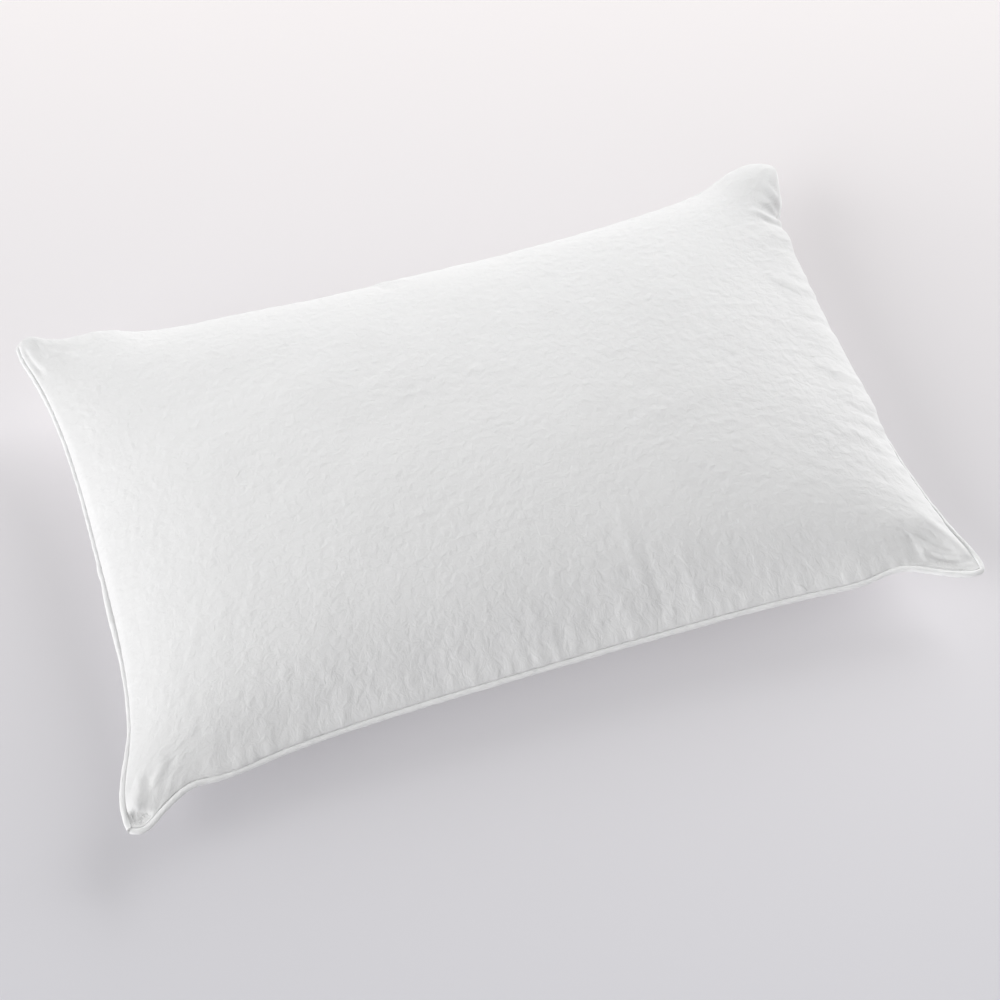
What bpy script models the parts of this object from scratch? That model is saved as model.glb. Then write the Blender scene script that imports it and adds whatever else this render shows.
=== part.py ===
"""Bed pillow: two cotton panels with a corded edge, filled with down and feather.

Units are metres, +Z is up, and the pillow lies flat on z = 0 with its long side along X.
The origin is under the middle of the pillow. Every edge piece follows one seam line, which
runs round the pillow between the two panels and pulls in between the four corners.
"""
import math

import bmesh
import bpy
from mathutils import Vector

# Seam line, as it lies on the filled pillow
LENGTH = 0.722              # between the short sides, at the corners
WIDTH = 0.477               # between the long sides, at the corners
PULL_FRONT = 0.029          # how far the middle of each side pulls in from its corners
PULL_BACK = 0.022
PULL_LEFT = 0.027
PULL_RIGHT = 0.024
EAR_LONG = 4.3              # higher: shorter ears at the ends of the long sides
EAR_SHORT = 3.2             # the same on the short sides
CORNER = 0.030              # length of each corner's curve, along either side
SEAM_HEIGHT = 0.050         # seam line above the ground, along the sides
CORNER_LIFT = {             # how far each corner turns up from there: (side in X, side in Y)
    (-1, -1): -0.008,
    (1, -1): 0.0,
    (1, 1): 0.013,
    (-1, 1): 0.017,
}
LIFT_SPREAD = 3.0           # higher: the lift stays closer to the corner
CORNER_REACH = {            # how far a corner that pokes out stands past the others, in X and in Y
    (-1, -1): 0.009,
    (1, 1): 0.009,
}
REACH_SPREAD = 30.0         # higher: the reach stays closer to the corner

# Panels
TICKING = 0.0004            # cotton cloth, also of the piping strip
CROWN = 0.090               # top of the filled panel above the seam line
BELLY = 0.074               # how far the lower panel would hang below it, with no ground
REST_BLEND = 0.003          # height over which the lower panel rolls onto the ground
FULLNESS_LONG = 2.8         # higher: the panel stays full closer to the short sides
FULLNESS_SHORT = 2.2        # the same for the long sides
ROUNDNESS = 0.62            # lower: steeper shoulders along the seam
LIP = 0.0032                # height of the folded edge above the seam line
ALLOWANCE = 0.008           # cloth turned in past the seam line

# Piping and thread
PIPING_CORD = 0.0032        # diameter of the cotton cord in the piping
THREAD = 0.0004             # diameter of the sewing thread
STITCH_INSET = 0.0025       # seam stitching, inside the fold
JOIN_Y = -0.010             # where the piping's two ends meet, on the left side
JOIN_GAP = 0.0010           # between the two cut ends of the cord
OPENING = 0.240             # length of the side that is closed after filling

# Filling
FILL_INSET = 0.012          # filling's edge, in from the seam line: past the allowances
FIT = 0.0003                # clearance between pieces that touch

# Mesh
CELLS_LONG = 16             # cells of each panel inside its two outer rows
CELLS_SHORT = 10
CORNER_ROW = 0.005          # width of the outermost row of cells
CROWDING = 0.86             # 0 to 1: how much the cells crowd towards the sides
CORD_STEPS = 2              # bevel resolution of the round pieces

COTTON = (0.86, 0.86, 0.87, 1.0)
THREAD_WHITE = (0.90, 0.90, 0.90, 1.0)
CORD_WHITE = (0.80, 0.79, 0.76, 1.0)
DOWN = (0.88, 0.87, 0.84, 1.0)


def clear_scene():
    for item in list(bpy.data.objects):
        bpy.data.objects.remove(item, do_unlink=True)


def material(name, colour, roughness):
    made = bpy.data.materials.new(name)
    made.use_nodes = True
    shader = made.node_tree.nodes["Principled BSDF"]
    shader.inputs["Base Color"].default_value = colour
    shader.inputs["Roughness"].default_value = roughness
    return made


def add_object(name, data, group, finish):
    made = bpy.data.objects.new(name, data)
    made.data.materials.append(finish)
    group.objects.link(made)
    return made


def stations(half_span, cells):
    """Places across the pillow, from -1 to 1: a narrow row at each side, one that reaches in to the
    filling's edge, then rows that crowd a little towards the sides."""
    outer = 1.0 - CORNER_ROW / half_span
    inner = 1.0 - FILL_INSET / half_span
    turn = CROWDING * math.pi / 2
    rows = [math.sin(turn * (2 * i / cells - 1)) / math.sin(turn) for i in range(cells + 1)]
    return [-1.0, -outer] + [inner * row for row in rows] + [outer, 1.0]


S_ROWS = stations(LENGTH / 2, CELLS_LONG)
T_ROWS = stations(WIDTH / 2, CELLS_SHORT)


def rounded(near, far):
    """Shift of a point `near` the closer side and `far` from the other one, both in metres, that
    turns the square corner into a curve: (away from the closer side, away from the other one).
    On the seam line itself the points spread further round the curve than on the rows inside it."""
    if far >= CORNER:
        return 0.0, 0.0
    turn = (1.0 - far / CORNER) ** (2 if near == 0 else 1) / 2
    fade = max(0.0, 1.0 - near / CORNER)
    return CORNER * turn ** 2 * fade, (CORNER * (1 - turn) ** 2 - far) * fade


def corner_share(s, t, side_x, side_y, spread):
    """1 at a corner, level round it, and falling to 0 on the far sides."""
    share = (1 + side_x * s) / 2 * (1 + side_y * t) / 2
    return (share ** 2 * (3 - 2 * share)) ** spread


def plan(s, t):
    """Place in X and Y of the panel point s, t; both run from -1 to 1 across the pillow."""
    pull_x = PULL_RIGHT if s > 0 else PULL_LEFT
    pull_y = PULL_BACK if t > 0 else PULL_FRONT
    from_x_side = LENGTH / 2 * (1 - abs(s))
    from_y_side = WIDTH / 2 * (1 - abs(t))
    if from_x_side <= from_y_side:
        cut_x, cut_y = rounded(from_x_side, from_y_side)
    else:
        cut_y, cut_x = rounded(from_y_side, from_x_side)
    x = s * (LENGTH / 2 - pull_x * (1 - abs(t) ** EAR_SHORT)) - math.copysign(cut_x, s)
    y = t * (WIDTH / 2 - pull_y * (1 - abs(s) ** EAR_LONG)) - math.copysign(cut_y, t)
    for (side_x, side_y), reach in CORNER_REACH.items():
        poke = reach * corner_share(s, t, side_x, side_y, REACH_SPREAD)
        x += side_x * poke
        y += side_y * poke
    return x, y


def seam_level(s, t):
    """Height of the seam line, carried across the whole pillow."""
    lift = 0.0
    for (side_x, side_y), rise in CORNER_LIFT.items():
        lift += rise * corner_share(s, t, side_x, side_y, LIFT_SPREAD)
    return SEAM_HEIGHT + lift


def swell(s, t):
    """Shape of a filled panel: 0 on the seam line, 1 in the middle."""
    return ((1 - abs(s) ** FULLNESS_LONG) * (1 - abs(t) ** FULLNESS_SHORT)) ** ROUNDNESS


def rest_on_ground(z):
    """z where it is well above the ground, 0 where it would be below, and a smooth roll between."""
    if z >= REST_BLEND:
        return z
    if z <= -REST_BLEND:
        return 0.0
    return (z + REST_BLEND) ** 2 / (4 * REST_BLEND)


def panel_point(s, t, upper):
    """Outer face of the upper or the lower panel."""
    x, y = plan(s, t)
    level = seam_level(s, t)
    if upper:
        return Vector((x, y, level + LIP + (CROWN - LIP) * swell(s, t)))
    return Vector((x, y, rest_on_ground(level - LIP - (BELLY - LIP) * swell(s, t))))


def edge_normal(start, end):
    along = end - start
    return Vector((along.y, -along.x, 0)).normalized()


def seam_ring():
    """Stations of the seam line in order, counter-clockwise from the front left corner. Each is its
    row and column in the panel's grid, its point, and two vectors that lead outward. The first is
    for steps to the outside: lengthened where the line bends, so that moved edges stay parallel.
    The second is for steps inward, and leads from the nearest point of the filling's edge."""
    last_s, last_t = len(S_ROWS) - 1, len(T_ROWS) - 1
    cells = [(i, 0) for i in range(last_s)] + [(last_s, j) for j in range(last_t)]
    cells += [(i, last_t) for i in range(last_s, 0, -1)] + [(0, j) for j in range(last_t, 0, -1)]
    points = []
    for i, j in cells:
        x, y = plan(S_ROWS[i], T_ROWS[j])
        points.append(Vector((x, y, seam_level(S_ROWS[i], T_ROWS[j]))))
    ring = []
    for k, ((i, j), point) in enumerate(zip(cells, points)):
        before = edge_normal(points[k - 1], point)
        after = edge_normal(point, points[(k + 1) % len(points)])
        x, y = plan(S_ROWS[min(max(i, 2), last_s - 2)], T_ROWS[min(max(j, 2), last_t - 2)])
        from_filling = Vector((point.x - x, point.y - y, 0)) / FILL_INSET
        ring.append(((i, j), point, (before + after) / (1 + before.dot(after)), from_filling))
    return ring


def beside(station, out, up):
    """A point at a seam station, moved outward and up. A negative `out` leads inward."""
    _, point, outward, from_filling = station
    return point + (outward if out > 0 else from_filling) * out + Vector((0, 0, up))


def extrude_rim(bm, homes, out, up):
    """Grows the open rim by one row. `homes` gives each rim vertex its seam station."""
    rim = [edge for edge in bm.edges if edge.is_boundary and all(v in homes for v in edge.verts)]
    if not rim:                         # the first row: a bare ring of edges
        rim = [edge for edge in bm.edges if edge.is_wire]
    grown = bmesh.ops.extrude_edge_only(bm, edges=rim)["geom"]
    fresh = {item for item in grown if isinstance(item, bmesh.types.BMVert)}
    moved = {}
    for vert in fresh:
        old = next(e.other_vert(vert) for e in vert.link_edges if e.other_vert(vert) not in fresh)
        moved[vert] = homes[old]
        vert.co = beside(homes[old], out, up)
    return moved


def finish_mesh(bm, name):
    mesh = bpy.data.meshes.new(name)
    bm.to_mesh(mesh)
    bm.free()
    mesh.shade_smooth()
    return mesh


def solidify(made, offset):
    shell = made.modifiers.new("cloth", "SOLIDIFY")
    shell.thickness = TICKING
    shell.offset = offset
    return shell


def fold_profile():
    """Section of a panel's folded edge, outward and up from the seam line: from the end of the
    filled panel, round the fold and in along the seam allowance."""
    bed = TICKING + 1.5 * FIT           # outer face of the allowance, over one leg of the strip
    return [
        (0.0, 0.6 * LIP),
        (-0.8 * TICKING, bed + 0.4 * TICKING),
        (-3 * TICKING, bed),
        (-ALLOWANCE, bed),
    ]


def make_panel(name, upper, group, finish):
    """One ticking panel: the filled face, its fold at the seam and the allowance turned inside."""
    side = 1 if upper else -1
    stations_by_cell = {station[0]: station for station in seam_ring()}
    bm = bmesh.new()
    bmesh.ops.create_grid(bm, x_segments=len(S_ROWS) - 1, y_segments=len(T_ROWS) - 1, size=1.0)
    homes = {}
    for vert in bm.verts:
        i = round((vert.co.x + 1) / 2 * (len(S_ROWS) - 1))
        j = round((vert.co.y + 1) / 2 * (len(T_ROWS) - 1))
        vert.co = panel_point(S_ROWS[i], T_ROWS[j], upper)
        if (i, j) in stations_by_cell:
            homes[vert] = stations_by_cell[i, j]
            vert.co = beside(homes[vert], -TICKING, side * LIP)
    for out, up in fold_profile():
        homes = extrude_rim(bm, homes, out, side * up)
    bmesh.ops.recalc_face_normals(bm, faces=bm.faces)
    middle = min(bm.faces, key=lambda face: face.calc_center_median().xy.length)
    if middle.normal.z * side < 0:
        bmesh.ops.reverse_faces(bm, faces=bm.faces)
    solidify(add_object(name, finish_mesh(bm, name), group, finish), -1.0)


def strip_profile():
    """Middle of the piping strip in section: in along the upper leg, round the cord, and back along
    the lower leg. The slot between the legs stays open."""
    leg = (TICKING + FIT) / 2
    radius = PIPING_CORD / 2 + FIT + TICKING / 2
    centre = radius + TICKING / 2
    first = math.radians(30)            # where the strip leaves the cord for the seam
    steps = 8
    arc = []
    for k in range(steps + 1):
        angle = math.pi - first - k * (2 * math.pi - 2 * first) / steps
        arc.append((centre + radius * math.cos(angle), radius * math.sin(angle)))
    return [(-ALLOWANCE, leg), (-1.5 * TICKING, leg)] + arc + [(-1.5 * TICKING, -leg), (-ALLOWANCE, -leg)]


def make_piping_strip(group, finish):
    profile = strip_profile()
    bm = bmesh.new()
    ring = seam_ring()
    verts = [bm.verts.new(beside(station, *profile[0])) for station in ring]
    homes = dict(zip(verts, ring))
    for k, vert in enumerate(verts):
        bm.edges.new((verts[k - 1], vert))
    for out, up in profile[1:]:
        homes = extrude_rim(bm, homes, out, up)
    bmesh.ops.recalc_face_normals(bm, faces=bm.faces)
    solidify(add_object("piping_strip", finish_mesh(bm, "piping_strip"), group, finish), 0.0)


def make_tube(name, points, closed, diameter, group, finish):
    curve = bpy.data.curves.new(name, "CURVE")
    curve.dimensions = "3D"
    curve.bevel_depth = diameter / 2
    curve.bevel_resolution = CORD_STEPS
    curve.use_fill_caps = True
    spline = curve.splines.new("POLY")
    spline.points.add(len(points) - 1)
    for target, point in zip(spline.points, points):
        target.co = (*point, 1.0)
    spline.use_cyclic_u = closed
    spline.use_smooth = True
    add_object(name, curve, group, finish)


def left_side_point(y, out, up):
    """The point beside the seam line at height y along the left side."""
    ring = [station for station in seam_ring() if station[0][0] == 0]
    for upper, lower in zip(ring[:-1], ring[1:]):
        a, b = beside(upper, out, up), beside(lower, out, up)
        if b.y <= y <= a.y:
            return a.lerp(b, (a.y - y) / (a.y - b.y))
    raise ValueError("the left side doesn't reach that far")


def make_piping_cord(group, finish):
    """The cord, whose two cut ends meet at the join on the left side."""
    centre = PIPING_CORD / 2 + FIT + TICKING
    ring = seam_ring()
    left = [k for k in range(1, len(ring)) if ring[k][0][0] == 0]
    first = next(k for k in left if beside(ring[k], centre, 0).y < JOIN_Y)
    order = ring[first:] + ring[:first]
    points = [left_side_point(JOIN_Y - JOIN_GAP / 2, centre, 0)]
    points += [beside(station, centre, 0) for station in order]
    points.append(left_side_point(JOIN_Y + JOIN_GAP / 2, centre, 0))
    make_tube("piping_cord", points, False, PIPING_CORD, group, finish)


def make_threads(group, finish):
    """Seam stitching above and below the four layers, the thread round their raw edges, and the
    stitches that close the opening in the ditch beside the piping."""
    ring = seam_ring()
    over = 2 * TICKING + 2.5 * FIT + THREAD / 2
    for name, side in (("seam_needle_thread", 1), ("seam_bobbin_thread", -1)):
        points = [beside(station, -STITCH_INSET, side * over) for station in ring]
        make_tube(name, points, True, THREAD, group, finish)
    edge = ALLOWANCE + FIT + THREAD / 2
    make_tube("overlock_thread", [beside(st, -edge, 0) for st in ring], True, THREAD, group, finish)

    out, up = TICKING, LIP - THREAD / 2
    ends = [JOIN_Y + OPENING / 2, JOIN_Y - OPENING / 2]
    inner = [beside(st, out, up) for st in ring if st[0][0] == 0]
    inner = [point for point in inner if ends[1] < point.y < ends[0]]
    points = [left_side_point(ends[0], out, up)] + inner + [left_side_point(ends[1], out, up)]
    make_tube("closing_thread", points, False, THREAD, group, finish)


def make_filling(group, finish):
    """The down and feather mass: both panels' inner faces, and a short wall past the allowances."""
    clearance = TICKING + FIT
    bm = bmesh.new()
    rims = []
    for upper in (True, False):
        made = bmesh.ops.create_grid(bm, x_segments=CELLS_LONG, y_segments=CELLS_SHORT, size=1.0)
        for vert in made["verts"]:
            i = 2 + round((vert.co.x + 1) / 2 * CELLS_LONG)
            j = 2 + round((vert.co.y + 1) / 2 * CELLS_SHORT)
            vert.co = panel_point(S_ROWS[i], T_ROWS[j], upper) - inward_shift(i, j, upper) * clearance
        faces = {face for vert in made["verts"] for face in vert.link_faces}
        rims += [edge for face in faces for edge in face.edges if edge.is_boundary]
    bmesh.ops.bridge_loops(bm, edges=list(dict.fromkeys(rims)))
    bmesh.ops.recalc_face_normals(bm, faces=bm.faces)
    add_object("filling", finish_mesh(bm, "filling"), group, finish)


def inward_shift(i, j, upper):
    """Outward normal of the panel's outer face at a grid point, lengthened so that flat facets on
    both sides of it still clear by the full distance."""
    here = panel_point(S_ROWS[i], T_ROWS[j], upper)
    arms = []
    for di, dj in ((1, 0), (0, 1), (-1, 0), (0, -1)):
        arms.append(panel_point(S_ROWS[i + di], T_ROWS[j + dj], upper) - here)
    normals = [arms[k].cross(arms[(k + 1) % 4]).normalized() for k in range(4)]
    mean = sum(normals, Vector()).normalized()
    least = min(mean.dot(normal) for normal in normals)
    return mean * (1 if upper else -1) * (1 if mean.z > 0 else -1) / max(least, 0.5)


def main():
    clear_scene()
    group = bpy.data.collections.new("bed_pillow")
    bpy.context.scene.collection.children.link(group)
    make_panel("top_panel", True, group, material("top_ticking", COTTON, 0.85))
    make_panel("bottom_panel", False, group, material("bottom_ticking", COTTON, 0.85))
    make_piping_strip(group, material("piping_cotton", COTTON, 0.8))
    make_piping_cord(group, material("cotton_cord", CORD_WHITE, 0.9))
    make_threads(group, material("sewing_thread", THREAD_WHITE, 0.6))
    make_filling(group, material("down_and_feather", DOWN, 1.0))


main()
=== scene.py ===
"""Looks of the bed pillow: simulated cotton panels, piping, stitches and down, built round the frame.

Metres, +Z up, long side along X. The seam line's formula is the one that the CAD solids follow, and
EARS then moves it by a few millimetres at the four corners. Every piece here sits on that one seam.
A panel point is named by s and t, which run from -1 to 1 across the pillow's length and width.
"""
import math
from collections import namedtuple

import bpy
import numpy as np
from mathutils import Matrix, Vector


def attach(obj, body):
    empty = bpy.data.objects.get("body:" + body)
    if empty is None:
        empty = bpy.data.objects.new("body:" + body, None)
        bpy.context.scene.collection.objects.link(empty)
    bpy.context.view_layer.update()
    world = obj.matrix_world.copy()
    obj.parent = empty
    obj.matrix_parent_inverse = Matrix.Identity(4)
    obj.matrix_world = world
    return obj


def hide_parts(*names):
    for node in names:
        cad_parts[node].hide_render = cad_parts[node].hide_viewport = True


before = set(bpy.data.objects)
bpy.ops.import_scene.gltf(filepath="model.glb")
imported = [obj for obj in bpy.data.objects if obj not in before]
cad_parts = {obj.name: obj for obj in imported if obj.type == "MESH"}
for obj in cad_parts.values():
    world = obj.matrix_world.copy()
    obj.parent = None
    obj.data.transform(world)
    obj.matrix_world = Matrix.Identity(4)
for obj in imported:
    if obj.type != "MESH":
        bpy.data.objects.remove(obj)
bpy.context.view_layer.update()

# Seam line, as in the CAD
LENGTH, WIDTH = 0.722, 0.477
PULL_FRONT, PULL_BACK, PULL_LEFT, PULL_RIGHT = 0.029, 0.022, 0.027, 0.024
EAR_LONG, EAR_SHORT = 4.3, 3.2
CORNER = 0.030
SEAM_HEIGHT = 0.050
CORNER_LIFT = {(-1, -1): -0.008, (1, -1): 0.0, (1, 1): 0.013, (-1, 1): 0.017}
LIFT_SPREAD = 3
CORNER_REACH = {(-1, -1): 0.009, (1, 1): 0.009}
REACH_SPREAD = 30
CROWN, BELLY = 0.090, 0.074
FULLNESS_LONG, FULLNESS_SHORT, ROUNDNESS = 2.8, 2.2, 0.62

# Cloth and edge
FLAT_LENGTH, FLAT_WIDTH = 0.766, 0.516      # each panel as cut: 75 x 50 cm and the seam allowances
TICKING = 0.0004
ALLOWANCE = 0.008
SEWN_SHARE = 0.98                           # of a panel's cut sizes, what lies inside the seam
PIPING_CORD = 0.0032
GAP = 0.0003
PIPING_RADIUS = PIPING_CORD / 2 + TICKING + GAP
STRAND, STRAND_TWIST = 0.00078, 0.011       # radius of a strand of the cord, and length of its turn
THREAD = 0.0004
STITCH_INSET = 0.0025
LOCKSTITCH, OVERLOCK, SLIP_STITCH = 0.0026, 0.0032, 0.0048      # lengths of one stitch
JOIN_Y = -0.010                             # where the piping's ends meet, at the left side
OPENING = 0.240                             # closed by hand after filling, round the same place

# Grids
SIM_LONG, SIM_SHORT = 156, 105
REFINE = 2                                  # cells of the final grid for each simulated one
CROWDING = 0.45                             # 0 to 1: how much the rows crowd towards the seam
FLOOR_GAP = 0.0004

# Simulation
FRAMES = 30
PRESSURE = 10
EAR_PRESSURE, EAR_REACH = 0.35, 0.075       # share of the pressure at an ear's tip, and how far it acts
TAUT = 0.965                                # the middle is drawn taut across, to this share of its width

UP = np.array([0, 0, 1.0])
rng = np.random.default_rng(41)


# ---------------------------------------------------------------- the pillow's form

def rows(cells):
    even = np.linspace(-1, 1, cells + 1)
    return (1 - CROWDING) * even + CROWDING * np.sin(even * math.pi / 2)


def grid(long, short):
    return np.meshgrid(rows(long), rows(short), indexing="ij")


def corner_share(s, t, side_x, side_y, spread):
    share = (1 + side_x * s) / 2 * (1 + side_y * t) / 2
    return (share ** 2 * (3 - 2 * share)) ** spread


def plan(s, t):
    """Place in X and Y of panel points."""
    from_x, from_y = LENGTH / 2 * (1 - abs(s)), WIDTH / 2 * (1 - abs(t))
    near, far = np.minimum(from_x, from_y), np.maximum(from_x, from_y)
    turn = np.clip(1 - far / CORNER, 0, 1) / 2
    fade = np.clip(1 - near / CORNER, 0, 1)
    cut_near = CORNER * turn ** 2 * fade
    cut_far = np.where(far < CORNER, (CORNER * (1 - turn) ** 2 - far) * fade, 0)
    cut_x = np.where(from_x <= from_y, cut_near, cut_far)
    cut_y = np.where(from_x <= from_y, cut_far, cut_near)
    pull_x = np.where(s > 0, PULL_RIGHT, PULL_LEFT)
    pull_y = np.where(t > 0, PULL_BACK, PULL_FRONT)
    x = s * (LENGTH / 2 - pull_x * (1 - abs(t) ** EAR_SHORT)) - np.sign(s) * cut_x
    y = t * (WIDTH / 2 - pull_y * (1 - abs(s) ** EAR_LONG)) - np.sign(t) * cut_y
    for (side_x, side_y), reach in CORNER_REACH.items():
        poke = reach * corner_share(s, t, side_x, side_y, REACH_SPREAD)
        x, y = x + side_x * poke, y + side_y * poke
    return x, y


def seam_level(s, t):
    lift = sum(rise * corner_share(s, t, *side, LIFT_SPREAD) for side, rise in CORNER_LIFT.items())
    return SEAM_HEIGHT + lift


def swell(s, t):
    full = np.clip(1 - abs(s) ** FULLNESS_LONG, 0, 1) * np.clip(1 - abs(t) ** FULLNESS_SHORT, 0, 1)
    return full ** ROUNDNESS


def smoothstep(x, low, high):
    share = np.clip((x - low) / (high - low), 0, 1)
    return share * share * (3 - 2 * share)


# ---------------------------------------------------------------- noise

def noise(x, y, size, seed, angle=0.6):
    """Smooth random relief, about -1 to 1, with features about `size` across."""
    table = np.random.default_rng(seed).uniform(-1, 1, (64, 64))
    u = (x * math.cos(angle) + y * math.sin(angle)) / size + 31.7
    v = (y * math.cos(angle) - x * math.sin(angle)) / size + 17.3
    i, j = np.floor(u).astype(int), np.floor(v).astype(int)
    a, b = u - i, v - j
    a, b = a ** 3 * (a * (a * 6 - 15) + 10), b ** 3 * (b * (b * 6 - 15) + 10)

    def at(di, dj):
        return table[(i + di) % 64, (j + dj) % 64]
    return (at(0, 0) * (1 - a) + at(1, 0) * a) * (1 - b) + (at(0, 1) * (1 - a) + at(1, 1) * a) * b


def creased(x, y, size, seed, angle):
    """Noise folded at its middle: a network of soft ridges with rounded troughs between them."""
    return 1 - 2.4 * np.sqrt(noise(x, y, size, seed, angle) ** 2 + 0.015)


# ---------------------------------------------------------------- cloth simulation

def panel_indices(long, short):
    """Vertex numbers of the upper and the lower grid, which share their outer row."""
    upper = np.arange((long + 1) * (short + 1)).reshape(long + 1, short + 1)
    inner = np.zeros(upper.shape, bool)
    inner[1:-1, 1:-1] = True
    lower = upper.copy()
    lower[inner] = upper.size + np.arange(inner.sum())
    return upper, lower, inner


def quads(index, flip):
    a, b, c, d = index[:-1, :-1], index[1:, :-1], index[1:, 1:], index[:-1, 1:]
    return np.stack([a, d, c, b] if flip else [a, b, c, d], -1).reshape(-1, 4)


def start_form(s, t):
    """The filled pillow before the cloth settles: upper and lower grid of points."""
    x, y = plan(s, t)
    level, full = seam_level(s, t), swell(s, t)
    top = np.stack([x, y, level + CROWN * full], -1)
    bottom = np.stack([x, y, np.maximum(level - BELLY * full, FLOOR_GAP)], -1)
    return top, bottom


def tip_share(s, t):
    """Share of the plain form at the very tips of the ears, where the simulated cloth would crumple."""
    from_tip = np.hypot(LENGTH / 2 * (1 - abs(s)), WIDTH / 2 * (1 - abs(t)))
    return 1 - smoothstep(from_tip, 0.014, 0.040)


def pressure_shares(s, t):
    """The filling presses less towards the tips of the ears."""
    ear = np.hypot(LENGTH / 2 * (1 - abs(s)), WIDTH / 2 * (1 - abs(t))) / EAR_REACH
    return EAR_PRESSURE + (1 - EAR_PRESSURE) * np.clip(ear, 0, 1) ** 1.5


def make_cloth(s, t, top, bottom):
    """Both panels as one closed mesh at the filled form, with the flat panels as its rest shape."""
    upper, lower, inner = panel_indices(SIM_LONG, SIM_SHORT)
    x, y = s * FLAT_LENGTH / 2 * SEWN_SHARE, t * FLAT_WIDTH / 2 * SEWN_SHARE
    rough = 0.0002 * smoothstep(np.minimum(1 - abs(s), 1 - abs(t)), 0, 0.03)
    wave = noise(x, y, 0.011, 3) + noise(x, y, 0.024, 4, 1.9)
    start = [p + np.stack([0 * s, 0 * s, rough * wave], -1) for p in (top, bottom)]
    points = np.concatenate([start[0].reshape(-1, 3), start[1][inner]])
    narrow = TAUT + (1 - TAUT) * abs(s) ** 4
    flat = np.stack([x, y * narrow, np.full_like(s, SEAM_HEIGHT)], -1)
    rest = np.concatenate([flat.reshape(-1, 3), flat[inner]])
    faces = np.concatenate([quads(upper, False), quads(lower, True)])
    mesh = bpy.data.meshes.new("settling")
    mesh.from_pydata(points.tolist(), [], faces.tolist())
    cloth = bpy.data.objects.new("settling", mesh)
    bpy.context.scene.collection.objects.link(cloth)
    cloth.shape_key_add(name="Basis")
    key = cloth.shape_key_add(name="flat")
    key.data.foreach_set("co", rest.ravel())
    key.value = 0
    held = cloth.vertex_groups.new(name="seam")
    held.add([int(i) for i in upper[~inner]], 1.0, "REPLACE")
    filled = cloth.vertex_groups.new(name="filled")
    share = pressure_shares(s, t)
    for numbers, shares in ((upper.ravel(), share.ravel()), (lower[inner], share[inner])):
        for number, level in zip(numbers, shares):
            filled.add([int(number)], float(level), "REPLACE")
    return cloth, key, upper, lower


def simulate(s, t, top, bottom):
    """Blows the two sewn panels up as cloth that is cut flat, on a floor, with the seam held."""
    cloth, key, upper, lower = make_cloth(s, t, top, bottom)
    bpy.ops.mesh.primitive_plane_add(size=2, location=(0, 0, -0.001))
    ground = bpy.context.object
    ground.modifiers.new("ground", "COLLISION")
    ground.collision.thickness_outer = 0.001
    blow = cloth.modifiers.new("blow", "CLOTH")
    blow.point_cache.frame_start, blow.point_cache.frame_end = 1, FRAMES
    settings = blow.settings
    settings.quality = 5
    settings.mass = 0.3
    settings.tension_stiffness = settings.compression_stiffness = 70
    settings.shear_stiffness = 24
    settings.bending_stiffness = 0.08
    settings.air_damping = 1
    settings.use_pressure = True
    settings.uniform_pressure_force = PRESSURE
    settings.vertex_group_pressure = "filled"
    settings.vertex_group_mass = "seam"
    settings.rest_shape_key = key
    settings.effector_weights.gravity = 0
    blow.collision_settings.use_self_collision = False
    blow.collision_settings.distance_min = 0.001
    for step in range(1, FRAMES + 1):
        bpy.context.scene.frame_set(step)
    blown = cloth.evaluated_get(bpy.context.evaluated_depsgraph_get())
    result = np.empty(len(cloth.data.vertices) * 3, np.float32)
    blown.data.vertices.foreach_get("co", result)
    result = result.reshape(-1, 3).astype(float)
    for item in (cloth, ground):
        bpy.data.objects.remove(item)
    bpy.context.scene.frame_set(1)
    return result[upper], result[lower]


def refine(points, times, axis):
    """Smooth curve through every row of points, read `times` as finely."""
    p = np.moveaxis(points, axis, 0)
    before = np.concatenate([2 * p[:1] - p[1:2], p[:-1]])
    after = np.concatenate([p[1:], 2 * p[-1:] - p[-2:-1]])
    slope = (after - before) / 2
    fine = np.empty((times * (len(p) - 1) + 1,) + p.shape[1:])
    fine[::times] = p
    for k in range(1, times):
        a = k / times
        fine[k::times] = ((2 * a ** 3 - 3 * a ** 2 + 1) * p[:-1] + (a ** 3 - 2 * a ** 2 + a) * slope[:-1]
                          + (3 * a ** 2 - 2 * a ** 3) * p[1:] + (a ** 3 - a ** 2) * slope[1:])
    return np.moveaxis(fine, 0, axis)


def grid_normals(p, upper):
    across = np.gradient(p, axis=0)
    along = np.gradient(p, axis=1)
    normal = np.cross(across, along) * (1 if upper else -1)
    return normal / np.maximum(np.linalg.norm(normal, axis=-1, keepdims=True), 1e-12)


# ---------------------------------------------------------------- folds, puckers and crinkles

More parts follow.
